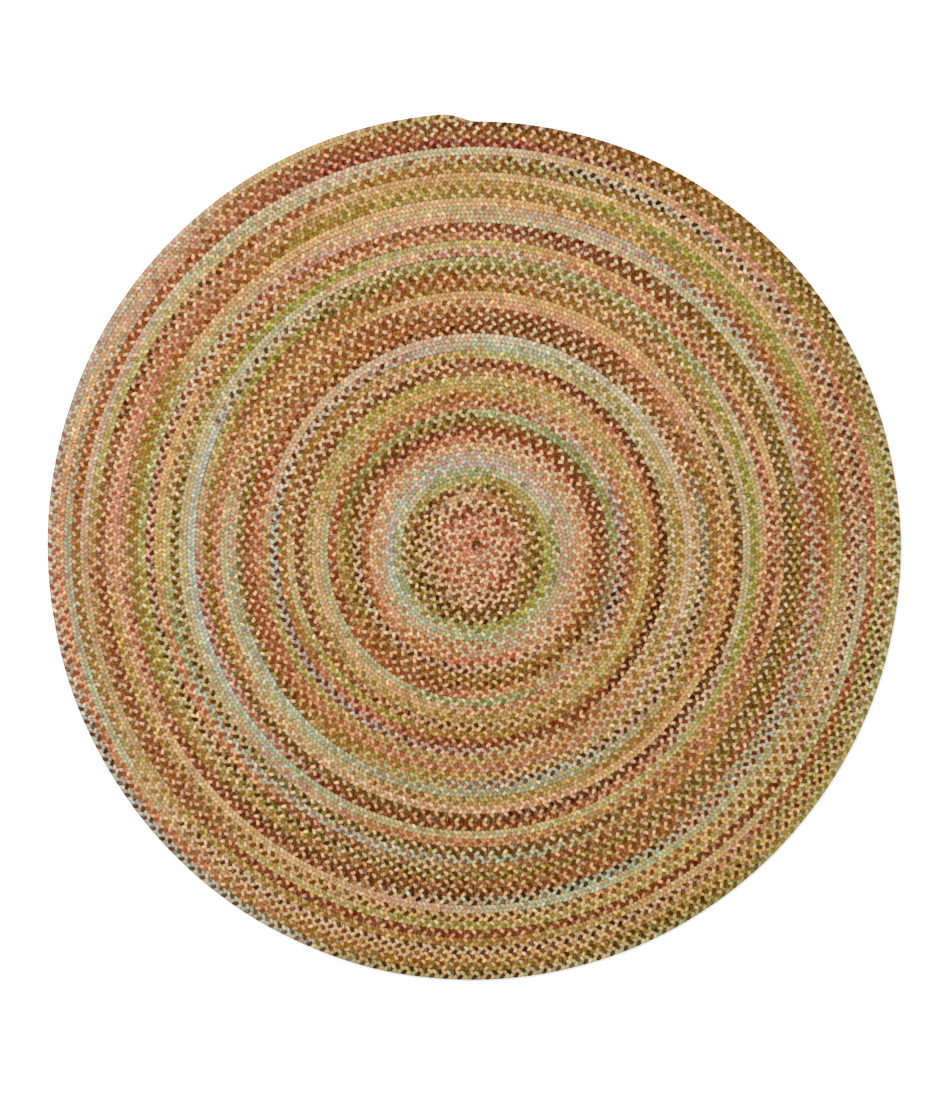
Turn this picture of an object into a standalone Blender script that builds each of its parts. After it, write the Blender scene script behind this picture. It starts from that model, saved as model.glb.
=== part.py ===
"""A round braided rug, lying flat.

One long flat braid is coiled into a spiral and laced row to row. The coil opens out clockwise
seen from above, and its outer end thins and is tucked in beside the last row at the top.
Metres, +Z up. The underside lies on z = 0, and the origin is the middle of its outline.
"""

import math

import bmesh
import bpy
from mathutils import Vector

# The rug
RUG_DIAMETER = 1.676  # 5 ft 6 in across
THICKNESS = 0.0095  # a flat braid of three strands
ROW_WIDTH = 0.016  # one turn of the coil
GROOVE_DEPTH = 0.003  # between two rows, at the lacing
LOOSENING = 0.0096  # the outer rows lie looser, by this in all
SETTLING = 0.0043  # the coil's start lies this far off the outline's middle, towards -Y
START_OVAL = 0.0022  # the inner rows are a little oval
LOOSE_FROM, LOOSE_OVER = 10, 42  # the turns over which all that changes

# The outer row's rounded side, as shares of the row's width and of the thickness
SHOULDER_IN, SHOULDER_UP = 0.26, 0.88
SIDE_UP = 0.46
FOOT_IN = 0.10

# The tucked end of the braid
END_ANGLE = math.radians(89.4)  # where it dies away, from +X towards +Y
TAPER_LENGTH = 0.072
TAPER_STEPS = 4

# How the hand-laid outline strays from a true circle: waves round the rug, height, direction
UNEVENNESS = (
    {"waves": 1, "height": 0.0045, "direction": 63},
    {"waves": 2, "height": 0.0045, "direction": 88},
    {"waves": 3, "height": 0.0015, "direction": 16},
)

# Facets: steps in each turn, out to that share of the radius
STEPS = (
    {"until": 0.08, "per_turn": 16},
    {"until": 0.32, "per_turn": 36},
    {"until": 0.60, "per_turn": 48},
    {"until": 1.01, "per_turn": 72},
)

YARN_COLOUR = (0.43, 0.265, 0.13, 1.0)
YARN_ROUGHNESS = 0.95

RADIUS = (RUG_DIAMETER + ROW_WIDTH) / 2  # at the braid's end, where the coil reaches furthest
TURNS = (RADIUS - LOOSENING) / ROW_WIDTH
TURN = 2 * math.pi
COIL_END = TURNS * TURN  # the coil's angle, counted from its start
TAPER_START = COIL_END - TAPER_LENGTH / RADIUS


def clear_scene():
    for item in list(bpy.data.objects):
        bpy.data.objects.remove(item, do_unlink=True)


def stray(bearing):
    """The outline's distance from the circle, as a share of the radius."""
    heights = (
        wave["height"] * math.cos(wave["waves"] * (bearing - math.radians(wave["direction"])))
        for wave in UNEVENNESS
    )
    return sum(heights) / RADIUS


def eased(coil):
    """How much of the coil's loosening has happened at a coil angle, from 0 to 1."""
    share = min(max((coil / TURN - LOOSE_FROM) / LOOSE_OVER, 0.0), 1.0)
    return share * share * (3 - 2 * share)


def inner_radius(coil):
    """The radius of the row's inner side at a coil angle."""
    before = max(coil - TURN, 0.0)
    return before / TURN * ROW_WIDTH + LOOSENING * eased(before)


def row_width(coil):
    """The row's width at a coil angle: full, and down to nothing along the tucked end."""
    share = (COIL_END - coil) / (COIL_END - TAPER_START)
    share = min(max(share, 0.0), 1.0)
    full = ROW_WIDTH + LOOSENING * (eased(coil) - eased(coil - TURN))
    return full * share * share * (3 - 2 * share)


def outer_radius(coil):
    """The radius of the row's outer side at a coil angle."""
    if coil < TURN:
        return coil / TURN * ROW_WIDTH
    return inner_radius(coil) + row_width(coil)


def place(coil, inwards, height):
    """A point beside the row's outer side: inwards by a share of the row's width there."""
    width = min(outer_radius(coil), row_width(coil))
    radius = outer_radius(coil) - inwards * width
    bearing = END_ANGLE + COIL_END - coil
    radius *= 1 + stray(bearing) * radius / RADIUS
    oval = START_OVAL * (1 - coil / COIL_END) * min(coil / TURN / 4, 1.0)
    radius -= oval * math.cos(2 * bearing)
    settled = SETTLING * (1 - eased(coil))
    return Vector((radius * math.cos(bearing), radius * math.sin(bearing) - settled, height))


def coil_angles():
    """The coil angles at which the rows have points, closer together towards the rim."""
    angles = []
    coil = TURN / STEPS[0]["per_turn"]
    last_turn = COIL_END - TURN
    while coil < TAPER_START - 0.01:
        angles.append(coil)
        share = coil / COIL_END
        per_turn = next(row["per_turn"] for row in STEPS if share < row["until"])
        coil += TURN / per_turn
    # The edge begins where the end dies away, so a point lies there
    nearest = min(range(len(angles)), key=lambda i: abs(angles[i] - last_turn))
    angles[nearest] = last_turn
    for step in range(TAPER_STEPS):
        angles.append(TAPER_START + (COIL_END - TAPER_START) * step / TAPER_STEPS)
    return angles


def line(bm, angles, inwards, height):
    """A line of points along the coil, as pairs of coil angle and point."""
    return [(coil, bm.verts.new(place(coil, inwards, height))) for coil in angles]


def join(bm, inner, outer):
    """Fills the strip between two lines of points, which may have different steps."""
    i, j = 0, 0
    while i < len(inner) - 1 or j < len(outer) - 1:
        further_in = inner[i + 1][0] if i < len(inner) - 1 else math.inf
        further_out = outer[j + 1][0] if j < len(outer) - 1 else math.inf
        a, b = inner[i][1], outer[j][1]
        if abs(further_in - further_out) < 1e-6:
            c, d = inner[i + 1][1], outer[j + 1][1]
            i, j = i + 1, j + 1
            corners = [a, b, d, c]
        elif further_in < further_out:
            i += 1
            corners = [a, b, inner[i][1]]
        else:
            j += 1
            corners = [a, b, outer[j][1]]
        corners = list(dict.fromkeys(corners))  # two lines may share a point where they meet
        if len(corners) > 2:
            bm.faces.new(corners)


def build_rug(bm):
    """One closed body: coiled ribs on top, a rounded rim and a flat underside."""
    groove = THICKNESS - GROOVE_DEPTH
    angles = coil_angles()
    last_turn = COIL_END - TURN
    inside = [coil for coil in angles if coil < last_turn - 1e-6]
    rim = [coil for coil in angles if coil > last_turn + 1e-6]

    middle = bm.verts.new(place(0.0, 0.0, groove))
    tip = bm.verts.new(place(last_turn, 0.0, SIDE_UP * THICKNESS))
    foot_tip = bm.verts.new(place(last_turn, FOOT_IN, 0.0))

    crests = [(0.0, middle)] + line(bm, angles, 0.5, THICKNESS) + [(COIL_END, tip)]
    grooves = [(0.0, middle)] + line(bm, inside, 0.0, groove) + [(last_turn, tip)]
    shoulders = [(last_turn, tip)] + line(bm, rim, SHOULDER_IN, SHOULDER_UP * THICKNESS)
    shoulders += [(COIL_END, tip)]
    sides = [(last_turn, tip)] + line(bm, rim, 0.0, SIDE_UP * THICKNESS) + [(COIL_END, tip)]
    feet = [(last_turn, foot_tip)] + line(bm, rim, FOOT_IN, 0.0) + [(COIL_END, foot_tip)]

    # Each row's inner half starts at the groove one turn before; the first row's at the middle
    one_turn_before = [(0.0, middle)] + [(coil + TURN, point) for coil, point in grooves]
    inner_crests = [pair for pair in crests if pair[0] < last_turn + 1e-6]
    outer_crests = [pair for pair in crests if pair[0] > last_turn - 1e-6]
    join(bm, one_turn_before, crests)
    join(bm, inner_crests, grooves)
    join(bm, outer_crests, shoulders)
    join(bm, shoulders, sides)
    join(bm, sides, feet)
    bm.faces.new([point for coil, point in feet[:-1]])


def centre_outline(bm):
    """Moves the rug so that the middle of its outline is at the origin."""
    across = [point.co.x for point in bm.verts]
    along = [point.co.y for point in bm.verts]
    middle = Vector((min(across) + max(across), min(along) + max(along), 0.0)) / 2
    bmesh.ops.translate(bm, verts=bm.verts, vec=-middle)


def yarn_material():
    material = bpy.data.materials.new("braided_yarn")
    material.use_nodes = True
    shader = material.node_tree.nodes["Principled BSDF"]
    shader.inputs["Base Color"].default_value = YARN_COLOUR
    shader.inputs["Roughness"].default_value = YARN_ROUGHNESS
    shader.inputs["Metallic"].default_value = 0.0
    material.diffuse_color = YARN_COLOUR
    return material


def add_rug(collection):
    bm = bmesh.new()
    build_rug(bm)
    centre_outline(bm)
    bmesh.ops.recalc_face_normals(bm, faces=bm.faces)
    mesh = bpy.data.meshes.new("braided_rug")
    bm.to_mesh(mesh)
    bm.free()
    mesh.materials.append(yarn_material())
    mesh.shade_smooth()
    mesh.set_sharp_from_angle(angle=math.radians(50))
    rug = bpy.data.objects.new("braided_rug", mesh)
    collection.objects.link(rug)
    return rug


def main():
    clear_scene()
    collection = bpy.data.collections.new("Braided rug")
    bpy.context.scene.collection.children.link(collection)
    add_rug(collection)


main()
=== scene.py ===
import itertools
import math

import bpy
import numpy as np
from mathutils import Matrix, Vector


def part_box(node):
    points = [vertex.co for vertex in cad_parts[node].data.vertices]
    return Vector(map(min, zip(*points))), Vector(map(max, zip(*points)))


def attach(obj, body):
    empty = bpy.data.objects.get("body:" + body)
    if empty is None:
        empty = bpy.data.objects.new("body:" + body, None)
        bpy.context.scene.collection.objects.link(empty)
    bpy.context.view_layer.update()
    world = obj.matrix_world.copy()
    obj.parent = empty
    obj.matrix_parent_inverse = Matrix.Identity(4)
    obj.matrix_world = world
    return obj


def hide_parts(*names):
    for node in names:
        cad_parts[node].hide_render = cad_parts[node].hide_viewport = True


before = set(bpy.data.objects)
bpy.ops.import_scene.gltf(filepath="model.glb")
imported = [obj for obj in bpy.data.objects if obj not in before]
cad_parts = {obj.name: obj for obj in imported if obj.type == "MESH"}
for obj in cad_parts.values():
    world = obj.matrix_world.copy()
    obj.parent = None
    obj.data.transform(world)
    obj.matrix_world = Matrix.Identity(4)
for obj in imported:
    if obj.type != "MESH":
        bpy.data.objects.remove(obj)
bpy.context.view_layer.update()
fullTurn = 2 * math.pi
rng = np.random.default_rng(53)

# the rug's own sizes, in metres
rug = {
    "diameter": 1.676,  # 5 ft 6 in
    "rowWidth": 0.016,  # one turn of the coil
    "endBearing": 89.4,  # degrees; where the braid's tucked end dies away
    "endTaper": 0.072,
    # waves of the outline: how many round the rim, their height, and their direction in degrees
    "waves": ((1, 0.0045, 63), (2, 0.0045, 88), (3, 0.0015, 16)),
    "loosening": 0.0096,  # the outer rows lie looser, by this in all
    "settling": 0.0043,  # the coil's start lies this far off the outline's middle, towards -Y
    "startOval": 0.0022,  # the inner rows are a little oval
    "ovalBy": 4,  # the turn by which they are
    "innermost": 0.0002,  # no point lies nearer to the coil's start
    "looseTurns": (10, 42),  # from which turn all that changes, and over how many
    "bands": (3, 3, 3, 3, 3, 5, 3, 3, 4, 4, 4, 4, 10),  # turns in each piece, from the rim inwards
    "lengthSteps": 400001,  # points along the coil, for measuring the braid
    "rimSteps": 4000,  # and round the rim, for finding the outline's middle
}

braid = {
    "repeat": 0.0274,  # along the braid, until a strand is back where it was
    "start": 0.0015,  # left out at the coil's middle
    "across": (-1.0, -0.84, -0.5, 0.0, 0.5, 0.84, 1.0),  # points over the top, in half row widths
    "crest": (8.4, 9.2, 9.4, 8.3, 9.4, 9.2, 8.4),  # heights over a lobe's back, in millimetres
    "groove": (7.4, 7.9, 8.1, 7.8, 8.1, 7.9, 7.4),  # and where two lobes meet
    "shoulder": 0.87,  # how full a lobe is halfway from its back to a groove
    "spread": 0.2,  # how far its points there move towards the groove, in rings
    "lean": 0.0036,  # how far a lobe gets along the braid from the middle to a side
    "leanCurve": 1.4,  # above 1, it leans most near the side
    "zigzag": 0.24,  # how far the middle line swings, in half row widths
    "scallop": 0.12,  # how far the sides draw in where two lobes meet
    "foot": 0.74,  # the flat underside, in half row widths
    "footAlong": 1.4,  # the way along a lobe: 0 in the middle of the top, 1 at a side, then here
    "underAlong": 2.0,  # and under the middle
    "overlap": 1.07,  # rows press on each other
    "sharpFrom": 55,  # degrees; lobes part where faces meet at more than that
    "unevenness": 0.00022,  # of heights, in metres
    "wander": 0.00035,  # of the rows, in metres
    "wanderRings": 60,  # from one bend to the next
    "steadyWithin": 0.1,  # metres from the middle; the rows wander less there
    "thinning": 0.65,  # how much lower the tucked end gets
    "fromEnd": 0.00001,  # points stay this much of a coil angle short of the end
}

# the coil
radius = (rug["diameter"] + rug["rowWidth"]) / 2
turns = (radius - rug["loosening"]) / rug["rowWidth"]
coilEnd = turns * fullTurn
taperStart = coilEnd - rug["endTaper"] / radius
endBearing = math.radians(rug["endBearing"])
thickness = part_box("braided_rug")[1][2]


def eased(coil):
    begin, over = rug["looseTurns"]
    share = np.clip((coil / fullTurn - begin) / over, 0.0, 1.0)
    return share * share * (3 - 2 * share)


def widthAt(coil):
    share = np.clip((coilEnd - coil) / (coilEnd - taperStart), 0.0, 1.0)
    full = rug["rowWidth"] + rug["loosening"] * (eased(coil) - eased(coil - fullTurn))
    return full * share * share * (3 - 2 * share)


def outerRadius(coil):
    before = np.maximum(coil - fullTurn, 0.0)
    innerRadius = before / fullTurn * rug["rowWidth"] + rug["loosening"] * eased(before)
    return np.where(coil < fullTurn, coil / fullTurn * rug["rowWidth"], innerRadius + widthAt(coil))


def placed(coil, inwards):
    width = np.minimum(outerRadius(coil), widthAt(coil))
    r = np.maximum(outerRadius(coil) - inwards * width, rug["innermost"])
    bearing = endBearing + coilEnd - coil
    stray = sum(h * np.cos(n * (bearing - math.radians(d))) for n, h, d in rug["waves"]) / radius
    r = r * (1 + stray * r / radius)
    begun = np.minimum(coil / fullTurn / rug["ovalBy"], 1.0)
    oval = rug["startOval"] * (1 - coil / coilEnd) * begun
    r = r - oval * np.cos(2 * bearing)
    return r * np.cos(bearing), r * np.sin(bearing) - rug["settling"] * (1 - eased(coil))


def outlineMiddle():
    lastTurn = np.linspace(coilEnd - fullTurn, coilEnd, rug["rimSteps"])
    x, y = placed(lastTurn, 0.0)
    return (x.min() + x.max()) / 2, (y.min() + y.max()) / 2


# coil angle against length along the middle of the braid
coilSteps = np.linspace(0.0, coilEnd, rug["lengthSteps"])
middleRadius = outerRadius(coilSteps) - np.minimum(outerRadius(coilSteps), widthAt(coilSteps)) / 2
stepLengths = (middleRadius[1:] + middleRadius[:-1]) / 2 * np.diff(coilSteps)
lengthSteps = np.concatenate(([0.0], np.cumsum(stepLengths)))
braidLength = lengthSteps[-1]
print(f"braid: {braidLength:.1f} m in {turns:.1f} turns")

# yarns
yarns = {  # as dyed, in sRGB
    "white": (186, 183, 162),
    "cream": (197, 174, 137),
    "peach": (201, 162, 124),
    "paleGrey": (182, 175, 149),
    "paleBlue": (158, 171, 155),
    "blueGreen": (124, 145, 108),
    "slate": (105, 96, 82),
    "sage": (162, 165, 110),
    "yellowGreen": (162, 150, 62),
    "gold": (198, 162, 95),
    "khaki": (181, 148, 94),
    "tan": (196, 155, 103),
    "olive": (132, 114, 36),
    "darkOlive": (86, 64, 13),
    "orangeRust": (182, 117, 69),
    "rust": (152, 88, 43),
    "coral": (189, 121, 90),
    "rose": (190, 134, 112),
    "redRust": (163, 75, 47),
    "brick": (131, 57, 28),
    "brickBrown": (107, 50, 18),
    "maroon": (97, 38, 20),
    "brown": (114, 68, 22),
    "darkBrown": (77, 41, 9),
    "nearBlack": (56, 29, 8),
}

# Rows are counted from the rim. In each, the share of the turn in hundredths, clockwise from the
# braid's end, and the yarns of the three strands from there on, as charted.
yarnChart = {
    1: "0 darkBrown brick cream, 4 brown brown tan, 9 brown olive tan, 13 darkBrown olive cream,"
    "17 brown sage cream, 21 darkOlive sage cream, 26 olive cream sage, 33 olive sage khaki,"
    "38 brown sage olive, 42 darkBrown sage cream, 48 nearBlack sage tan,"
    "56 brown paleGrey paleBlue, 62 maroon paleGrey paleBlue, 70 redRust white cream,"
    "76 redRust paleGrey paleBlue, 80 rose paleGrey paleBlue, 84 cream paleGrey rose,"
    "90 tan sage peach, 96 tan sage brown",
    2: "0 brick olive peach, 5 olive rust peach, 11 brown olive peach, 17 rust olive cream,"
    "20 yellowGreen sage khaki, 23 brown khaki cream, 27 darkBrown khaki cream,"
    "33 darkBrown tan gold, 40 darkBrown gold olive, 46 brown olive tan, 52 olive rust tan,"
    "59 coral rust peach, 69 redRust peach peach, 74 coral tan peach, 78 tan peach cream,"
    "83 tan rose paleGrey, 89 rust brown peach, 97 brickBrown brown cream",
    3: "0 maroon brick rose, 4 darkBrown rose cream, 8 olive brown peach,"
    "12 olive tan yellowGreen, 17 olive tan brown, 20 yellowGreen sage peach,"
    "26 darkOlive yellowGreen cream, 37 khaki tan olive, 43 brown gold peach, 59 rust tan cream,"
    "63 tan cream khaki, 66 sage paleBlue cream, 71 paleBlue rose sage, 77 rust paleBlue tan,"
    "83 paleBlue rose tan, 87 rust coral peach, 92 brown brick rose, 97 brick rust cream",
    4: "0 cream peach paleGrey, 4 cream gold tan, 8 coral peach rose, 13 rust coral cream,"
    "18 coral brick peach, 25 brick rust peach, 31 brickBrown rust tan, 37 brickBrown rose tan,"
    "41 nearBlack tan cream, 52 darkBrown peach cream, 63 yellowGreen rose cream,"
    "67 olive rust cream, 75 rust brick tan, 80 brick rust peach, 91 maroon brick rose",
    5: "0 brick olive sage, 2 nearBlack paleGrey cream, 10 maroon paleGrey cream,"
    "19 maroon rose sage, 25 sage cream paleGrey, 31 sage cream olive, 37 tan cream khaki,"
    "43 tan khaki olive, 48 olive tan rust, 58 khaki olive tan, 65 sage tan rose,"
    "75 paleGrey rose cream, 85 paleGrey cream sage, 91 cream rose paleGrey,"
    "96 paleGrey cream sage",
    6: "0 olive brick sage, 5 rust olive cream, 11 rose olive cream, 16 brick cream tan,"
    "24 darkBrown cream peach, 30 brickBrown peach cream, 35 maroon brickBrown tan,"
    "42 maroon brick tan, 61 brown rust peach, 72 rose olive tan, 77 yellowGreen sage cream,"
    "84 tan sage cream, 91 sage paleGrey cream, 95 rust tan paleGrey",
    7: "0 gold peach cream, 5 khaki gold cream, 10 tan gold cream, 17 tan coral peach,"
    "20 rust brickBrown cream, 26 khaki cream tan, 32 olive gold cream,"
    "48 yellowGreen olive cream, 54 yellowGreen tan cream, 61 rust brown peach,"
    "66 brown brick peach, 74 brown rust peach, 80 darkBrown brick peach, 83 darkBrown rose tan,"
    "88 brick rust peach, 93 rust olive tan",
    8: "0 olive tan khaki, 4 olive yellowGreen sage, 17 yellowGreen sage khaki,"
    "19 yellowGreen olive khaki, 24 yellowGreen sage cream, 28 khaki tan cream,"
    "31 brown gold cream, 38 brown gold tan, 45 darkBrown gold cream, 49 darkBrown gold tan,"
    "57 brown tan khaki, 66 tan olive gold, 73 redRust cream peach, 82 coral rust cream,"
    "90 coral tan cream, 94 tan khaki peach",
    9: "0 olive rust cream, 8 olive khaki tan, 17 olive tan rust, 25 coral tan olive,"
    "28 olive paleBlue tan, 34 paleBlue sage gold, 44 paleBlue sage cream, 50 peach rose cream,"
    "55 peach gold cream, 66 peach orangeRust cream, 74 rose coral peach, 82 coral rust rose,"
    "88 rust olive peach, 92 olive khaki tan",
    10: "0 tan gold peach, 5 gold tan rust, 8 gold olive tan, 11 rust brick peach,"
    "16 brick rust tan, 26 brick paleGrey rose, 32 maroon paleBlue cream, 36 maroon paleGrey tan,"
    "41 nearBlack paleBlue sage, 47 nearBlack paleGrey khaki, 54 darkBrown rust peach,"
    "59 brickBrown brick peach, 67 brick rose peach, 73 rose olive peach, 79 rust olive peach,"
    "84 rust brick tan, 90 olive yellowGreen rust, 95 olive yellowGreen cream",
    11: "0 paleBlue tan rose, 5 paleBlue rose cream, 9 brick paleBlue cream,"
    "14 brick paleGrey cream, 18 brick paleGrey rose, 25 rust paleGrey sage,"
    "30 nearBlack paleBlue tan, 34 slate sage tan, 39 rust brown tan, 45 darkBrown rust tan,"
    "50 brown darkBrown peach, 63 rust tan olive, 68 olive sage rust, 76 olive yellowGreen rust,"
    "83 khaki tan cream, 90 tan gold peach, 95 tan peach cream",
    12: "0 cream sage paleGrey, 5 cream paleGrey tan, 10 cream sage paleGrey, 16 peach cream sage,"
    "19 rose paleGrey cream, 22 brick rust cream, 26 brickBrown rust peach, 34 rust brown peach,"
    "43 brown rust tan, 48 darkBrown rust tan, 55 brown rust tan, 58 olive khaki tan,"
    "62 olive khaki cream, 68 olive yellowGreen cream, 74 sage yellowGreen cream,"
    "76 olive sage cream, 82 sage khaki cream, 88 rose khaki cream, 94 sage cream tan",
    13: "0 brick maroon cream, 6 brickBrown brown cream, 11 brown olive tan,"
    "17 darkOlive olive tan, 33 olive darkOlive peach, 42 darkOlive olive tan,"
    "50 darkBrown olive cream, 64 darkBrown tan cream, 68 darkBrown sage cream,"
    "72 maroon rose cream, 82 brick paleGrey cream, 88 brick paleGrey rose,"
    "92 rose coral paleGrey, 96 rose tan cream",
    14: "0 brick rose cream, 3 brick brown cream, 12 olive brown cream, 18 darkOlive brown cream,"
    "37 olive brown peach, 41 brown brick peach, 46 rust olive peach, 50 brown rust cream,"
    "52 brown peach sage, 56 brick brown peach, 61 redRust gold peach, 67 redRust peach tan,"
    "72 gold yellowGreen peach, 78 peach tan gold, 83 rust tan peach, 84 rust gold peach,"
    "90 rust brick peach, 95 brick rust cream",
    15: "0 yellowGreen gold cream, 4 gold peach coral, 9 tan rust cream, 13 rust gold cream,"
    "17 tan gold peach, 22 brown tan peach, 26 orangeRust tan peach, 30 rust tan olive,"
    "35 orangeRust rust gold, 39 tan khaki rust, 44 brown sage paleBlue, 50 brown paleBlue tan,"
    "52 rust paleBlue paleGrey, 68 sage paleBlue olive, 73 gold sage cream, 78 brown cream tan,"
    "84 rust brown cream, 90 rust tan cream, 95 rust rose tan",
    16: "0 orangeRust cream white, 5 rust coral peach, 12 brick coral cream, 17 brick rust cream,"
    "19 brick coral cream, 26 brick brickBrown peach, 32 rust rose peach, 36 rust brown peach,"
    "40 darkOlive brown cream, 52 darkBrown olive cream, 62 darkBrown sage tan,"
    "71 darkBrown cream olive, 79 olive sage tan, 84 olive yellowGreen sage, 94 sage cream khaki",
    17: "0 sage olive cream, 5 sage olive paleGrey, 15 sage paleGrey peach, 20 tan sage peach,"
    "25 tan rust peach, 34 tan rust khaki, 48 rust coral khaki, 57 khaki rose paleGrey,"
    "66 tan sage paleGrey, 82 paleGrey cream sage, 92 rose peach cream, 97 brick rose cream",
    18: "0 brown olive cream, 12 olive yellowGreen cream, 17 yellowGreen olive sage,"
    "33 yellowGreen sage khaki, 36 sage yellowGreen paleGrey, 37 tan yellowGreen paleGrey,"
    "48 sage khaki cream, 58 paleGrey sage paleBlue, 67 paleGrey paleBlue white,"
    "83 darkBrown paleGrey cream, 87 brown paleGrey cream, 91 brown sage cream,"
    "95 sage olive cream",
    19: "0 rust peach cream, 5 rust tan cream, 12 rust peach tan, 16 tan peach cream,"
    "20 sage tan paleGrey, 31 brick paleGrey cream, 37 brick rose tan, 43 brick brickBrown tan,"
    "51 maroon brickBrown tan, 59 brick maroon rose, 61 rust rose paleGrey,"
    "67 brick rose paleGrey, 75 rose tan sage, 80 sage tan olive, 85 olive yellowGreen sage,"
    "88 olive tan sage, 90 olive darkBrown sage, 94 brown olive cream",
    20: "0 brick olive tan, 5 rust olive peach, 11 brown rust cream, 16 darkOlive olive cream,"
    "20 brown darkOlive cream, 24 darkBrown brickBrown tan, 33 nearBlack brickBrown peach,"
    "49 darkBrown brown tan, 54 brown darkOlive tan, 57 darkOlive brown peach, 67 olive brown tan,"
    "76 olive rust peach, 83 rust brown peach, 91 rust olive tan, 94 rust brick tan",
    21: "0 tan gold peach, 11 tan khaki cream, 23 gold tan rust, 32 tan gold peach,"
    "43 orangeRust cream peach, 51 orangeRust cream cream, 66 tan gold rust, 71 rust rose peach,"
    "78 rust rose tan, 83 rust olive peach, 90 brick olive tan",
    22: "0 rose peach tan, 7 coral peach tan, 13 rose tan peach, 16 brickBrown peach cream,"
    "19 brown gold peach, 24 rust gold peach, 28 brick coral peach, 33 rust olive tan,"
    "43 khaki olive tan, 52 khaki brown tan, 57 sage cream khaki, 66 paleGrey sage cream,"
    "76 tan sage cream, 79 tan cream rust, 82 brown gold khaki, 85 tan gold rust,"
    "93 khaki tan peach",
    23: "0 brickBrown rust cream, 6 brick brickBrown peach, 11 brick rust cream,"
    "14 coral rust tan, 17 rust olive tan, 22 olive khaki rust, 30 olive tan khaki,"
    "37 blueGreen khaki paleGrey, 60 sage paleGrey paleBlue, 69 blueGreen khaki paleGrey,"
    "75 rose tan paleGrey, 79 brick tan cream, 87 rust peach cream, 90 brick rust cream,"
    "96 rust tan peach",
    24: "0 brickBrown brown cream, 10 brown rust peach, 17 brown rust tan, 20 slate sage cream,"
    "25 darkBrown paleGrey tan, 34 darkBrown paleGrey rose, 41 darkBrown paleBlue cream,"
    "48 slate paleGrey rose, 52 sage tan olive, 56 rust sage tan, 59 rust olive tan,"
    "63 brickBrown olive peach, 69 darkOlive rust cream, 76 brown olive cream, 85 brown rust peach",
    25: "0 darkBrown rust cream, 11 brown tan cream, 14 brickBrown peach cream,"
    "18 rust peach cream, 23 orangeRust cream cream, 25 olive cream cream, 31 olive gold cream,"
    "42 brown gold cream, 49 olive tan khaki, 55 olive rust tan, 62 rust brick tan,"
    "70 brick rust peach, 82 rust coral peach, 88 rust tan olive, 92 rust brick tan",
    26: "0 cream paleGrey white, 18 cream paleGrey tan, 30 redRust white cream,"
    "35 redRust paleGrey cream, 39 rust coral cream, 46 rust coral peach, 58 coral rust tan,"
    "67 brick rust peach, 71 coral rust peach, 78 rust brick peach, 83 brickBrown rust tan,"
    "90 darkBrown rust peach, 95 darkBrown brick peach",
    27: "0 paleGrey sage paleBlue, 7 sage olive cream, 13 sage khaki tan, 19 olive khaki tan,"
    "36 khaki tan rust, 48 khaki rust sage, 57 olive tan khaki, 64 olive sage tan,"
    "70 tan rust sage, 77 tan paleGrey rose, 82 peach paleGrey tan, 88 cream paleGrey peach,"
    "93 cream rose paleGrey",
    28: "0 sage yellowGreen cream, 6 sage khaki cream, 12 olive cream white, 18 olive cream cream,"
    "33 rust cream cream, 39 rust brown peach, 44 brown paleGrey tan, 49 maroon paleGrey rose,"
    "57 maroon paleBlue rose, 69 maroon paleBlue paleGrey, 80 maroon paleGrey cream,"
    "90 brickBrown paleGrey rose, 93 paleGrey rose paleBlue, 98 paleGrey sage rose",
    29: "0 brickBrown brick peach, 7 brickBrown maroon peach, 14 maroon darkBrown tan,"
    "29 nearBlack maroon tan, 37 maroon brick tan, 53 brick rust rose, 57 brick coral peach,"
    "64 rust coral olive, 70 rust olive peach, 82 rust olive tan, 90 olive peach tan,"
    "97 olive tan khaki",
    30: "0 rust tan peach, 13 coral rust peach, 18 coral rust tan, 24 brick olive tan,"
    "33 rust olive tan, 41 rust olive khaki, 49 rust olive tan, 56 olive yellowGreen tan,"
    "61 olive yellowGreen cream, 67 khaki sage cream, 73 khaki tan cream, 77 brown khaki cream,"
    "80 brickBrown peach cream, 87 rust peach cream, 95 brickBrown peach cream",
    31: "0 yellowGreen khaki cream, 26 yellowGreen gold cream, 38 khaki cream gold,"
    "41 brown gold cream, 49 darkBrown tan peach, 58 brown rust peach, 68 brickBrown brown peach,"
    "89 brickBrown brown cream, 95 brown rust cream",
    32: "0 khaki olive cream, 7 khaki tan peach, 12 khaki olive peach, 18 olive khaki tan,"
    "27 tan olive rust, 35 khaki tan olive, 60 khaki olive peach, 72 khaki olive cream,"
    "80 olive sage tan, 88 yellowGreen olive tan, 96 yellowGreen khaki cream",
    33: "0 rust tan khaki, 7 rust peach tan, 15 rust coral cream, 22 brick rust cream,"
    "30 rust peach cream, 42 rust coral cream, 47 rust tan cream, 51 tan peach khaki,"
    "58 khaki tan cream, 80 khaki yellowGreen tan, 85 khaki yellowGreen cream,"
    "90 yellowGreen khaki tan",
    34: "0 brick coral cream, 6 redRust paleGrey cream, 11 rose sage paleGrey,"
    "18 paleGrey rose slate, 23 maroon paleGrey rose, 28 nearBlack paleBlue rose,"
    "33 maroon sage rose, 37 coral rose sage, 43 sage olive paleGrey, 57 sage paleGrey khaki,"
    "74 sage tan paleGrey, 80 tan sage rust, 88 rust khaki tan, 94 brown tan rust",
    35: "0 sage blueGreen cream, 8 olive blueGreen sage, 23 sage rust cream, 28 rust slate sage,"
    "33 rust sage peach, 38 sage rust tan, 44 rust tan peach, 50 rust coral peach,"
    "52 brick rust peach, 60 rust brick tan, 67 brick brickBrown tan, 73 brick rust peach,"
    "80 brick rust tan, 92 rust coral peach",
    36: "0 olive brown peach, 5 brown brown cream, 15 brickBrown brickBrown cream,"
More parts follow.
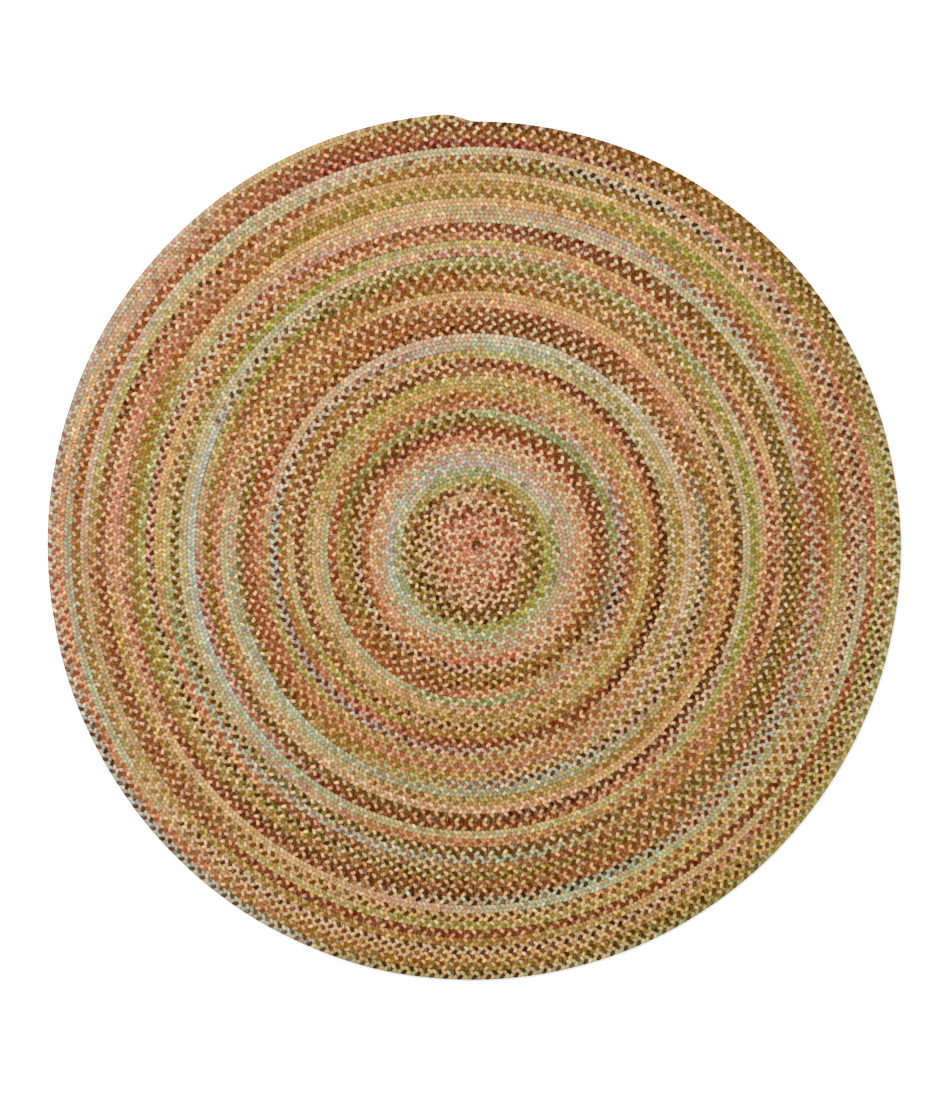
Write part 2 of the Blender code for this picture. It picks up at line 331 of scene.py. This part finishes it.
    "24 brown brown cream, 31 darkBrown brown tan, 37 darkBrown rust gold, 50 darkBrown rust tan,"
    "60 rust brown tan, 69 olive tan khaki, 78 olive brown sage, 85 blueGreen olive tan,"
    "93 darkOlive sage peach",
    37: "0 brickBrown brick tan, 7 brickBrown brick peach, 15 brick brickBrown tan,"
    "25 rust brickBrown tan, 35 rust olive tan, 42 brown olive tan, 53 brown rust tan,"
    "64 darkOlive olive tan, 78 darkOlive brown tan, 90 darkBrown olive tan",
    38: "0 brick peach cream, 12 redRust peach cream, 22 redRust gold cream, 35 brick peach cream,"
    "41 brickBrown peach cream, 50 darkBrown rose cream, 63 darkBrown peach cream,"
    "77 brown peach cream, 85 brickBrown brick peach, 91 maroon brick rose,"
    "94 brickBrown brick peach",
    39: "0 orangeRust cream cream, 20 orangeRust cream peach, 43 redRust coral peach,"
    "53 rust coral tan, 67 rust brick tan, 85 rust coral peach",
    40: "0 paleGrey sage rose, 7 paleGrey rose tan, 16 sage paleGrey peach, 24 coral tan paleGrey,"
    "36 orangeRust paleGrey cream, 44 paleGrey rose tan, 52 rust tan cream, 62 rose tan peach,"
    "72 orangeRust cream cream",
    41: "0 paleGrey paleBlue rose, 10 paleGrey rose white, 17 paleGrey tan rose,"
    "24 paleGrey rose sage, 30 paleGrey tan sage, 36 coral paleGrey sage, 48 tan paleGrey rust,"
    "58 rose sage cream, 71 coral tan paleGrey, 82 coral paleGrey sage, 93 paleBlue rose paleGrey",
    42: "0 sage blueGreen cream, 5 sage paleGrey cream, 18 sage olive paleGrey,"
    "35 sage yellowGreen paleGrey, 46 sage blueGreen cream, 56 sage paleBlue rose,"
    "64 paleBlue sage white, 75 paleBlue rose white, 81 white paleBlue cream,"
    "86 white rose paleBlue",
    43: "0 yellowGreen olive khaki, 9 yellowGreen sage khaki, 20 olive yellowGreen sage,"
    "49 sage olive paleGrey, 59 olive sage cream, 66 sage blueGreen cream, 78 sage paleGrey cream,"
    "90 sage blueGreen cream",
    44: "0 darkBrown olive cream, 7 brown olive peach, 18 darkOlive olive peach,"
    "31 darkBrown brown peach, 43 darkBrown olive cream, 57 darkBrown olive peach,"
    "61 brown olive cream, 68 brown khaki cream, 78 brown olive peach, 84 olive sage khaki,"
    "90 sage yellowGreen cream",
    45: "0 rust tan rose, 7 rust olive tan, 14 brown olive peach, 28 brown olive tan,"
    "40 brown darkOlive peach, 50 darkBrown brown gold, 58 darkBrown olive cream,"
    "65 darkBrown olive peach, 79 darkBrown brown peach, 87 darkBrown brown tan,"
    "94 brown tan cream",
    46: "0 brickBrown peach cream, 10 brown peach cream, 18 rust peach cream,"
    "33 brickBrown peach cream, 52 brown peach cream, 60 darkBrown brown peach,"
    "66 darkBrown peach cream, 73 darkBrown gold peach, 87 rust peach cream, 93 tan peach cream",
    47: "0 brick coral peach, 12 brick coral rust, 18 brick coral peach, 24 brick maroon peach,"
    "31 brickBrown brick peach, 41 brickBrown rust peach, 44 brown peach peach,"
    "50 brown peach cream, 61 darkBrown gold peach, 72 darkBrown cream peach, 77 brown peach cream",
    48: "0 redRust peach cream, 24 brick peach cream, 36 redRust peach cream,"
    "56 redRust rose peach, 62 brick coral gold, 70 brick coral cream, 90 brickBrown brick peach",
    49: "0 brick peach cream, 8 brick cream gold, 20 brick cream cream, 26 redRust peach cream,"
    "90 redRust rose cream",
    50: "0 brick coral rose, 8 redRust rose cream, 20 redRust peach cream, 30 redRust rose cream,"
    "43 redRust peach cream, 56 coral peach cream, 58 redRust peach cream, 66 redRust rose cream,"
    "80 redRust peach cream, 90 rose coral cream",
    51: "0 brickBrown darkBrown rose, 10 brick peach peach, 24 redRust rose cream,"
    "35 coral rose cream, 53 redRust rose cream, 66 coral rose gold, 80 redRust peach rose,"
    "90 brick coral rose",
    52: "0 rose coral peach, 88 brickBrown rose coral",
}

yarnLook = {
    "brightness": np.array((1.23, 1.27, 1.42)),  # of dyed colours, before anything shades them
    "change": 0.02,  # turns; how long a change of yarn takes
    "plyShift": 0.02,  # turns; how far apart the plies of a strand change
    "mainShift": 0.5,  # and how much of that a lobe's main colour has
    "lobeShade": 0.09,  # lobes differ this much in lightness
    "evening": 0.35,  # how far the three strands' tints come together, though not their lightness
    "dyeShare": 0.3,  # how far a lobe's colour may leave its strand's
    "fleckShare": 0.7,  # how far a fleck's colour leaves its strand's
    "leastFleck": 0.2,  # and the least of that
    "range": (0.004, 0.9),  # of all colours, in linear light
    "flecks": (
        "cream", "gold", "sage", "rust", "peach",
        "yellowGreen", "rose", "paleGrey", "brown", "coral",
    ),
}


def linearColour(name):
    value = np.array(yarns[name]) / 255
    light = np.where(value <= 0.04045, value / 12.92, ((value + 0.055) / 1.055) ** 2.4)
    return light * yarnLook["brightness"]


def unlikeness(one, other):
    return np.abs(np.sqrt(one) - np.sqrt(other)).sum()


def chartedYarns():
    spots = []
    for row, text in yarnChart.items():
        for entry in text.split(","):
            share, *names = entry.split()
            spots.append((turns - row + float(share) / 100, [linearColour(name) for name in names]))
    spots.sort(key=lambda spot: spot[0])
    colours = [np.array(spots[0][1])]
    for _, three in spots[1:]:  # each yarn stays in its strand where the next section has it too
        orders = [np.array(order) for order in itertools.permutations(three)]
        colours.append(min(orders, key=lambda order: unlikeness(order, colours[-1])))
    return np.array([spot[0] for spot in spots]), np.array(colours)


chartTurns, chartColours = chartedYarns()
print(f"yarns: {len(yarns)} colours, {len(chartTurns)} places on the chart")


def blended(one, other, share):  # as mixed dyes look
    return (np.sqrt(one) * (1 - share) + np.sqrt(other) * share) ** 2


def yarnAt(turn, strand):
    begun = turn + yarnLook["change"] / 2
    now = np.clip(np.searchsorted(chartTurns, begun) - 1, 0, len(chartTurns) - 1)
    before = np.maximum(now - 1, 0)
    way = np.clip((begun - chartTurns[now]) / yarnLook["change"], 0.0, 1.0)[:, None]
    return blended(chartColours[before, strand], chartColours[now, strand], way)


def lobeColours(turn, strand):
    count = len(turn)
    shift = rng.normal(0, yarnLook["plyShift"], (2, count))
    mainTurn = turn + shift[0] * yarnLook["mainShift"]
    three = np.sqrt([yarnAt(mainTurn, (strand + k) % 3) for k in range(3)])
    tints = three - three.mean(axis=2, keepdims=True)
    main = np.maximum(three[0] + (tints.mean(axis=0) - tints[0]) * yarnLook["evening"], 0.0) ** 2
    palette = np.array([linearColour(name) for name in yarnLook["flecks"]])
    dyed = palette[rng.integers(0, len(palette), count)]
    main = blended(main, dyed, yarnLook["dyeShare"] * rng.uniform(0.0, 1.0, count)[:, None] ** 2)
    pick = rng.integers(0, len(palette), count)
    share = yarnLook["fleckShare"] * rng.uniform(yarnLook["leastFleck"], 1.0, count)[:, None]
    second = blended(yarnAt(turn + shift[1], strand), palette[pick], share)
    shade = (1 + rng.normal(0, yarnLook["lobeShade"], count))[:, None]
    return np.clip(main * shade, *yarnLook["range"]), np.clip(second * shade, *yarnLook["range"])


def colouredLobes(count):
    lobe = np.arange(2 * count)
    inner = lobe % 2
    number = lobe // 2
    strand = np.where(inner == 1, 2 - number, -number) % 3
    ring = number * ringsPerLobe + np.where(inner == 1, 0, halfLobe)
    return lobeColours(coilAt(ring, lean / 2) / fullTurn, strand)


# The braid's mesh. Rings of points run round the braid, four for each lobe. Each ring follows the
# strands: it leans forward to both sides on top, and on beneath, so lobes meet along rings.
ringsPerLobe = 4
ringStep = braid["repeat"] / 3 / ringsPerLobe
halfLobe = ringsPerLobe // 2
lean = braid["lean"]
lobeCount = int((braidLength - braid["start"] - 2 * lean) / ringStep / ringsPerLobe)
middleX, middleY = outlineMiddle()


def coilAt(ring, forward=0.0):
    length = braid["start"] + np.asarray(ring) * ringStep + forward
    return np.minimum(np.interp(length, lengthSteps, coilSteps), coilEnd - braid["fromEnd"])


def slowNoise(every, seed):  # a value for each ring, which changes over that many rings
    rings = np.arange(lobeCount * ringsPerLobe + 1)
    rough = np.random.default_rng(seed).normal(0, 1, len(rings) // every + 3)
    return np.interp(rings, np.arange(len(rough)) * every, rough)


heightNoise = slowNoise(ringsPerLobe, 1)
rowNoise = slowNoise(braid["wanderRings"], 2)


def placedPoints(rings, coil, share, height):
    x, y = placed(coil, (1 - share * braid["overlap"]) / 2)
    far = np.hypot(x, y)
    wander = rowNoise[rings] * braid["wander"] * np.clip(far / braid["steadyWithin"], 0, 1)
    wander = 1 + wander / far
    taper = 1 - np.sqrt(widthAt(coil) / rug["rowWidth"])
    height = np.clip(height * (1 - braid["thinning"] * taper), 0.0, thickness)
    return np.column_stack((x * wander - middleX, y * wander - middleY, height))


def topLine(rings, column):
    phase = rings % ringsPerLobe
    across = braid["across"][column]
    full, near = braid["shoulder"], braid["spread"]
    if across > 0:
        bulge, nudge = np.array((0.0, full, 1.0, full)), np.array((0.0, -near, 0.0, near))
    elif across < 0:
        bulge, nudge = np.array((1.0, full, 0.0, full)), np.array((0.0, near, 0.0, -near))
    else:
        bulge, nudge = np.array((0.0, 1.0, 0.0, 1.0)), np.zeros(ringsPerLobe)
    share = np.full(len(rings), across)
    if across == 0:
        share = braid["zigzag"] * np.array((1.0, 0.0, -1.0, 0.0))[phase]
    if abs(across) == 1:
        share = share * (1 - braid["scallop"] * (1 - bulge[phase]))
    forward = lean * abs(across) ** braid["leanCurve"]
    low, high = braid["groove"][column] / 1000, braid["crest"][column] / 1000
    height = low + (high - low) * bulge[phase] + heightNoise[rings] * braid["unevenness"]
    return placedPoints(rings, coilAt(rings + nudge[phase], forward), share, height)


def footLine(rings, side):
    share = np.full(len(rings), side * braid["foot"])
    coil = coilAt(rings, lean * (1 if side else 2))
    return placedPoints(rings, coil, share, np.zeros(len(rings)))


class Skin:  # a band's faces as they are gathered, with what its material and its UV map need
    def __init__(self):
        self.corners, self.sizes, self.rings, self.section = [], [], [], []
        self.along, self.across, self.lobes = [], [], []

    def add(self, corners, rings, section, along, middle, inner):  # arrays of faces by corners
        lobe = np.floor((middle + (halfLobe if inner else 0)) / ringsPerLobe).astype(int)
        centre = lobe * ringsPerLobe + (0 if inner else halfLobe)
        self.corners.append(corners.ravel())
        self.sizes.append(np.full(len(corners), corners.shape[1]))
        self.rings.append(rings.ravel())
        self.section.append(np.broadcast_to(section, rings.shape).ravel())
        self.along.append(np.broadcast_to(along, rings.shape).ravel())
        self.across.append(((rings - centre[:, None]) / halfLobe).ravel())
        self.lobes.append(lobe * 2 + (1 if inner else 0))

    def stitch(self, left, right, inner):  # fills the strip between two lines whose points differ
        corners, rings, section, along, middles = [], [], [], [], []
        i, j = 0, 0
        while i < len(left["rings"]) - 1 or j < len(right["rings"]) - 1:
            nextLeft = left["middles"][i] if i < len(left["middles"]) else math.inf
            nextRight = right["middles"][j] if j < len(right["middles"]) else math.inf
            line, other, a, b = left, right, i, j
            if nextRight < nextLeft:
                line, other, a, b = right, left, j, i
            middles.append(min(nextLeft, nextRight))
            three = ((line, a), (line, a + 1), (other, b))
            if line is right:
                three = three[::-1]
                j += 1
            else:
                i += 1
            corners.append([one["start"] + n for one, n in three])
            rings.append([one["rings"][n] for one, n in three])
            section.append([one["section"] for one, n in three])
            along.append([one["along"] for one, n in three])
        arrays = [np.array(some) for some in (corners, rings, section, along, middles)]
        self.add(*arrays, inner)


def bandMesh(first, last):
    rings = np.arange(first, last + 1)
    grooves = np.arange(first, last + 1, ringsPerLobe)
    lines, points = [], []

    def addLine(where, place, section, along):  # sections are counted round from under the middle
        lines.append({
            "rings": where.tolist(),
            "start": sum(len(line["rings"]) for line in lines),
            "middles": ((where[1:] + where[:-1]) / 2).tolist(),
            "section": section,
            "along": along,
        })
        points.append(place)
        return lines[-1]

    columns = len(braid["across"])
    for column, across in enumerate(braid["across"]):
        addLine(rings, topLine(rings, column), column + 2, abs(across))
    innerRings = np.concatenate(([first], grooves[:-1] + halfLobe, [last]))
    middleRings = np.concatenate(([first], grooves[1:-1] + 1, [last]))
    outerFoot = addLine(grooves, footLine(grooves, 1), columns + 2, braid["footAlong"])
    middleFoot = addLine(middleRings, footLine(middleRings, 0), columns + 3, braid["underAlong"])
    innerFoot = addLine(innerRings, footLine(innerRings, -1), 1, braid["footAlong"])

    skin = Skin()
    k = np.arange(len(rings) - 1)
    for column in range(columns - 1):
        a, b = lines[column], lines[column + 1]
        skin.add(
            np.column_stack((k, k + 1, k + 1 + len(rings), k + len(rings))) + a["start"],
            first + np.column_stack((k, k + 1, k + 1, k)),
            np.array((a["section"], a["section"], b["section"], b["section"])),
            np.array((a["along"], a["along"], b["along"], b["along"])),
            first + k + 0.5,
            inner=column < columns // 2,
        )
    skin.stitch(lines[columns - 1], outerFoot, inner=False)
    skin.stitch(outerFoot, middleFoot, inner=False)
    skin.stitch({**middleFoot, "section": 0}, innerFoot, inner=True)
    skin.stitch(innerFoot, lines[0], inner=True)
    starts = [line["start"] for line in lines]
    ends = [line["start"] + len(line["rings"]) - 1 for line in lines]
    return skin, np.concatenate(points), (starts, ends[::-1])


unrolling = {
    "girth": 0.042,  # round the braid, in metres
    "widths": (3, 3, 3, 4, 4, 4, 4, 3, 3, 3),  # shares of a lane, from under the middle and round
    "margin": 1.0,  # beside a lane, in the same shares
    "endMargin": 1,  # before and after it, in rings
    "capAcross": 0.0011,  # where the two cut ends lie
    "capHeights": (0.25, 0.75),
    "capSize": 0.0009,
}

yarnFinish = {
    "plies": 4,  # side by side over a lobe
    "twist": 1.1,  # plies passed from a lobe's one end to the other
    "fleckedPlies": 0.45,
    "fleckMix": 0.7,  # how much of the fleck's colour such a ply has
    "plyTone": 0.22,  # plies differ in lightness by this
    "mottle": 0.36,  # and along their way, as dyed
    "mottleSize": 240.0,
    "plyShade": 0.30,  # painted shade: how much darker it is between two plies
    "sideShade": 0.13,  # painted shade where two lobes meet
    "tuckShade": 0.38,  # painted shade where a lobe is tucked in at the middle
    "tuckCurve": 3,
    "seamShade": 0.50,  # painted shade down its outer end
    "seamLine": 0.55,  # how much of that reaches the middle of the end
    "depth": 0.5,  # how much fuller colours get in the painted shade
    "fibre": 0.15,
    "fibreSize": 1500.0,
    "roughness": 0.95,
    "roughnessChange": 0.12,
    "relief": 0.0006,  # in metres, of plies and fibres together
    "plyRelief": 0.7,
    "fibreRelief": 0.5,
    "seedStep": 0.37,  # from one lobe's seed to the next's
    "seedRange": 11,
}


class Flow:  # an output of a node, so that shader maths reads as plain sums
    def __init__(self, tree, output):
        self.tree = tree
        self.output = output

    def node(self, kind, settings=None, inputs=None, output=0):
        made = self.tree.nodes.new(kind)
        for name, value in (settings or {}).items():
            setattr(made, name, value)
        for name, value in (inputs or {}).items():
            if isinstance(value, Flow):
                self.tree.links.new(value.output, made.inputs[name])
            else:
                made.inputs[name].default_value = value
        return Flow(self.tree, made.outputs[output])

    def maths(self, operation, first, second=0.0):
        if self.output.type not in ("RGBA", "VECTOR"):
            return self.node("ShaderNodeMath", {"operation": operation}, {0: first, 1: second})
        if operation == "MULTIPLY":
            scaled = {0: first, "Scale": second}
            return self.node("ShaderNodeVectorMath", {"operation": "SCALE"}, scaled)
        return self.node("ShaderNodeVectorMath", {"operation": operation}, {0: first, 1: second})

    def __add__(self, other):
        return self.maths("ADD", self, other)

    def __sub__(self, other):
        return self.maths("SUBTRACT", self, other)

    def __mul__(self, other):
        return self.maths("MULTIPLY", self, other)

    def __rsub__(self, other):
        return self.maths("SUBTRACT", other, self)

    def __pow__(self, other):
        return self.maths("POWER", self, other)

    __radd__ = __add__
    __rmul__ = __mul__

    def below(self):
        return self.maths("FLOOR", self)

    def over(self, limit):
        return self.maths("GREATER_THAN", self, limit)

    def size(self):
        return self.maths("ABSOLUTE", self)

    def least(self, limit):
        return self.maths("MINIMUM", self, limit)

    def mixed(self, other, share):  # 6, 7 and 2 are the node's sockets for colours
        return self.node("ShaderNodeMix", {"data_type": "RGBA"}, {0: share, 6: self, 7: other}, 2)

    def gamma(self, power):
        return self.node("ShaderNodeGamma", {}, {"Color": self, "Gamma": power})


def yarnShader():
    material = bpy.data.materials.new("braided_yarn")
    material.use_nodes = True
    tree = material.node_tree
    shader = tree.nodes["Principled BSDF"]
    start = Flow(tree, None)
    place = start.node("ShaderNodeTexCoord", {}, {}, "Object")

    def attribute(name, output):
        return start.node("ShaderNodeAttribute", {"attribute_name": name}, {}, output)

    def noise(scale, detail):
        inputs = {"Vector": place, "Scale": scale, "Detail": detail}
        return start.node("ShaderNodeTexNoise", {}, inputs, "Fac")

    def chance(x, y):
        seed = start.node("ShaderNodeCombineXYZ", {}, {"X": x, "Y": y})
        settings = {"noise_dimensions": "2D"}
        return start.node("ShaderNodeTexWhiteNoise", settings, {"Vector": seed}, "Value")

    spot = attribute("strandSpot", "Vector")
    along = spot.node("ShaderNodeSeparateXYZ", {}, {0: spot}, "X")
    across = spot.node("ShaderNodeSeparateXYZ", {}, {0: spot}, "Y")
    lobe = spot.node("ShaderNodeSeparateXYZ", {}, {0: spot}, "Z")
    main = attribute("yarnMain", "Color")
    fleck = attribute("yarnFleck", "Color")

    # plies lie side by side and turn round the strand as it goes
    lane = (across * 0.5 + 0.5) * yarnFinish["plies"] + along * yarnFinish["twist"]
    ply = lane.below()
    offMiddle = ((lane - ply) * 2 - 1).size()
    dome = 1 - offMiddle * offMiddle
    flecked = chance(ply, lobe).over(1 - yarnFinish["fleckedPlies"])
    tone = chance(lobe, ply)
    fibre = noise(yarnFinish["fibreSize"], 2.0)
    mottle = noise(yarnFinish["mottleSize"], 1.0)

    # painted shade between plies, between lobes, under the next lobe and along the seam
    side = across * across
    tucked = (1 - along.least(1.0)) ** yarnFinish["tuckCurve"]
    outer = along.least(1.0) ** 2 * (yarnFinish["seamLine"] + (1 - yarnFinish["seamLine"]) * side)
    light = 1 - yarnFinish["plyShade"] * (1 - dome)
    light = light * (1 - yarnFinish["sideShade"] * side)
    light = light * (1 - yarnFinish["tuckShade"] * tucked)
    light = light * (1 - yarnFinish["seamShade"] * outer)
    # fibres, ply tones and dyed mottle, the yarn's own colour
    light = light * (1 - yarnFinish["fibre"] + fibre * (2 * yarnFinish["fibre"]))
    light = light * (1 + (tone - 0.5) * yarnFinish["plyTone"])
    light = light * (1 + (mottle - 0.5) * yarnFinish["mottle"])
    colour = main.mixed(fleck, flecked * yarnFinish["fleckMix"]) * light
    # in the painted shade, colours also get fuller and darker
    colour = colour.gamma(1 + (1 - light) * yarnFinish["depth"])
    tree.links.new(colour.output, shader.inputs["Base Color"])
    roughness = yarnFinish["roughness"] + (fibre - 0.5) * yarnFinish["roughnessChange"]
    tree.links.new(roughness.output, shader.inputs["Roughness"])
    height = dome * yarnFinish["plyRelief"] + fibre * yarnFinish["fibreRelief"]
    bumpInputs = {"Height": height, "Distance": yarnFinish["relief"], "Strength": 1.0}
    bump = start.node("ShaderNodeBump", {}, bumpInputs, "Normal")
    tree.links.new(bump.output, shader.inputs["Normal"])
    shader.inputs["Specular IOR Level"].default_value = 0.0
    return material


def joined(skin, key):
    return np.concatenate(getattr(skin, key))


def unrolledPlace(skin, first, last):
    # the band laid out in lanes, so that a picture of its colours has room for each strand
    rings, section, sizes = joined(skin, "rings"), joined(skin, "section"), joined(skin, "sizes")
    starts = np.concatenate(([0], np.cumsum(sizes)[:-1]))
    faceStart = np.minimum.reduceat(rings, starts) - first
    length = (last - first) * ringStep
    lanes = max(1, round(math.sqrt(length / unrolling["girth"])))
    perLane = math.ceil((last - first) / lanes / ringsPerLobe) * ringsPerLobe
    lane = np.minimum(np.repeat(faceStart // perLane, sizes), lanes - 1)
    margin = unrolling["endMargin"]
    u = (rings - first - lane * perLane + margin) / (perLane + ringsPerLobe + 2 * margin)
    widths = np.concatenate(([0], np.cumsum(unrolling["widths"])))
    v = (widths[section.astype(int)] + unrolling["margin"]) / (widths[-1] + 2 * unrolling["margin"])
    return np.column_stack((u, (v + lane) / lanes))


def capPlaces(count):  # the two cut ends lie small, in the margin
    angles = np.arange(count) / (count / 2) * fullTurn
    high = np.where(np.arange(count) < count / 2, *unrolling["capHeights"])
    across = unrolling["capAcross"] + unrolling["capSize"] * np.cos(angles)
    return np.column_stack((across, high + unrolling["capSize"] * np.sin(angles)))


def addStrandSpots(mesh, skin, capCorners):  # what the material asks of each corner of a face
    seeds = joined(skin, "lobes") * yarnFinish["seedStep"] % yarnFinish["seedRange"]
    ends = np.zeros(capCorners)
    spot = np.column_stack((
        np.concatenate((joined(skin, "along"), ends)),
        np.concatenate((joined(skin, "across"), ends)),
        np.concatenate((np.repeat(seeds, joined(skin, "sizes")), ends)),
    ))
    layer = mesh.attributes.new("strandSpot", "FLOAT_VECTOR", "CORNER")
    layer.data.foreach_set("vector", spot.ravel())


def addYarnColours(mesh, skin):
    lobes = joined(skin, "lobes")
    lobes = np.concatenate((lobes, [lobes[0], lobes[-1]]))
    for key, colours in (("yarnMain", mainColours), ("yarnFleck", fleckColours)):
        rgba = np.column_stack((colours[lobes], np.ones(len(lobes))))
        mesh.attributes.new(key, "FLOAT_COLOR", "FACE").data.foreach_set("color", rgba.ravel())


def addBand(name, first, last):
    skin, points, caps = bandMesh(first, last)
    corners = np.concatenate((joined(skin, "corners"), *[np.array(cap) for cap in caps]))
    sizes = np.concatenate((joined(skin, "sizes"), [len(cap) for cap in caps]))
    loopStarts = np.concatenate(([0], np.cumsum(sizes)[:-1]))
    mesh = bpy.data.meshes.new(name)
    mesh.vertices.add(len(points))
    mesh.vertices.foreach_set("co", points.ravel())
    mesh.loops.add(len(corners))
    mesh.loops.foreach_set("vertex_index", corners.astype(np.int32))
    mesh.polygons.add(len(sizes))
    mesh.polygons.foreach_set("loop_start", loopStarts.astype(np.int32))
    mesh.update(calc_edges=True)

    capCorners = sum(len(cap) for cap in caps)
    unrolled = np.concatenate((unrolledPlace(skin, first, last), capPlaces(capCorners)))
    layer = mesh.uv_layers.new(name="OFBake")
    layer.uv.foreach_set("vector", unrolled.astype(np.float32).ravel())
    addStrandSpots(mesh, skin, capCorners)
    addYarnColours(mesh, skin)

    smooth = np.ones(len(sizes), bool)
    smooth[-len(caps):] = False
    mesh.polygons.foreach_set("use_smooth", smooth)
    mesh.set_sharp_from_angle(angle=math.radians(braid["sharpFrom"]))
    mesh.materials.append(yarnMaterial)
    mesh.validate()
    band = bpy.data.objects.new(name, mesh)
    bpy.context.collection.objects.link(band)
    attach(band, "root")
    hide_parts("braided_rug")
    return band


yarnMaterial = yarnShader()
mainColours, fleckColours = colouredLobes(lobeCount + 1)

ringTurns = coilAt(np.arange(0, lobeCount * ringsPerLobe + 1, ringsPerLobe), lean / 2) / fullTurn
fromRim = np.cumsum((0,) + rug["bands"])
cuts = np.searchsorted(ringTurns, np.maximum(turns - fromRim, 0)) * ringsPerLobe
cuts[0] = lobeCount * ringsPerLobe
cuts[-1] = 0
bands = []
for number, (last, first) in enumerate(zip(cuts[:-1], cuts[1:]), 1):
    bands.append(addBand(f"braid_{number:02d}", int(first), int(last)))
triangles = sum(len(band.data.loops) - 2 * len(band.data.polygons) for band in bands)
print(f"braid: {len(bands)} bands, {2 * lobeCount} lobes, {triangles} triangles")

# floor, light and camera
setting = {
    "floorSize": 14.0,
    "floorDrop": 0.0004,
    "floorColour": (0.92, 0.92, 0.915, 1.0),
    "floorRoughness": 0.9,
    "pixel": 1.857 / 950,  # metres of the rug's top in one pixel of the photograph's frame
    "frame": (950, 1095),
    "rugAt": (474, 547),  # the pixel of the outline's middle
    "cameraHeight": 6.0,
    "sensor": 36.0,  # millimetres
    "skyStrength": 0.95,
    "lights": (
        {"name": "key", "place": (-1.4, 1.6, 3.4), "size": 2.4, "watts": 102},
        {"name": "fill", "place": (1.8, -1.4, 3.4), "size": 3.0, "watts": 37},
    ),
}


def addFloor():
    half, low = setting["floorSize"] / 2, -setting["floorDrop"]
    mesh = bpy.data.meshes.new("floor")
    corners = [(-half, -half, low), (half, -half, low), (half, half, low), (-half, half, low)]
    mesh.from_pydata(corners, [], [(0, 1, 2, 3)])
    material = bpy.data.materials.new("pale_floor")
    material.use_nodes = True
    shader = material.node_tree.nodes["Principled BSDF"]
    shader.inputs["Base Color"].default_value = setting["floorColour"]
    shader.inputs["Roughness"].default_value = setting["floorRoughness"]
    mesh.materials.append(material)
    floor = bpy.data.objects.new("floor", mesh)
    bpy.context.collection.objects.link(floor)


def addLight(name, place, size, watts):
    light = bpy.data.lights.new(name, "AREA")
    light.size = size
    light.energy = watts
    lamp = bpy.data.objects.new(name, light)
    lamp.location = place
    lamp.rotation_euler = (-lamp.location).to_track_quat("-Z", "Y").to_euler()
    bpy.context.collection.objects.link(lamp)


def addSky():
    world = bpy.data.worlds.new("studio")
    world.use_nodes = True
    background = world.node_tree.nodes["Background"]
    background.inputs["Color"].default_value = (1.0, 1.0, 1.0, 1.0)
    background.inputs["Strength"].default_value = setting["skyStrength"]
    bpy.context.scene.world = world
    bpy.context.scene.view_settings.view_transform = "Standard"


def addCamera():
    data = bpy.data.cameras.new("camera")
    wide, high = setting["frame"]
    across, up = setting["rugAt"]
    height = setting["cameraHeight"]
    data.sensor_width = setting["sensor"]
    data.lens = data.sensor_width * height / (high * setting["pixel"])
    camera = bpy.data.objects.new("camera", data)
    x = (wide / 2 - across) * setting["pixel"]
    y = (up - high / 2) * setting["pixel"]
    camera.location = (x, y, height + thickness)
    bpy.context.collection.objects.link(camera)
    bpy.context.scene.camera = camera


addFloor()
addSky()
for light in setting["lights"]:
    addLight(**light)
addCamera()
print("stage: floor, light and camera")
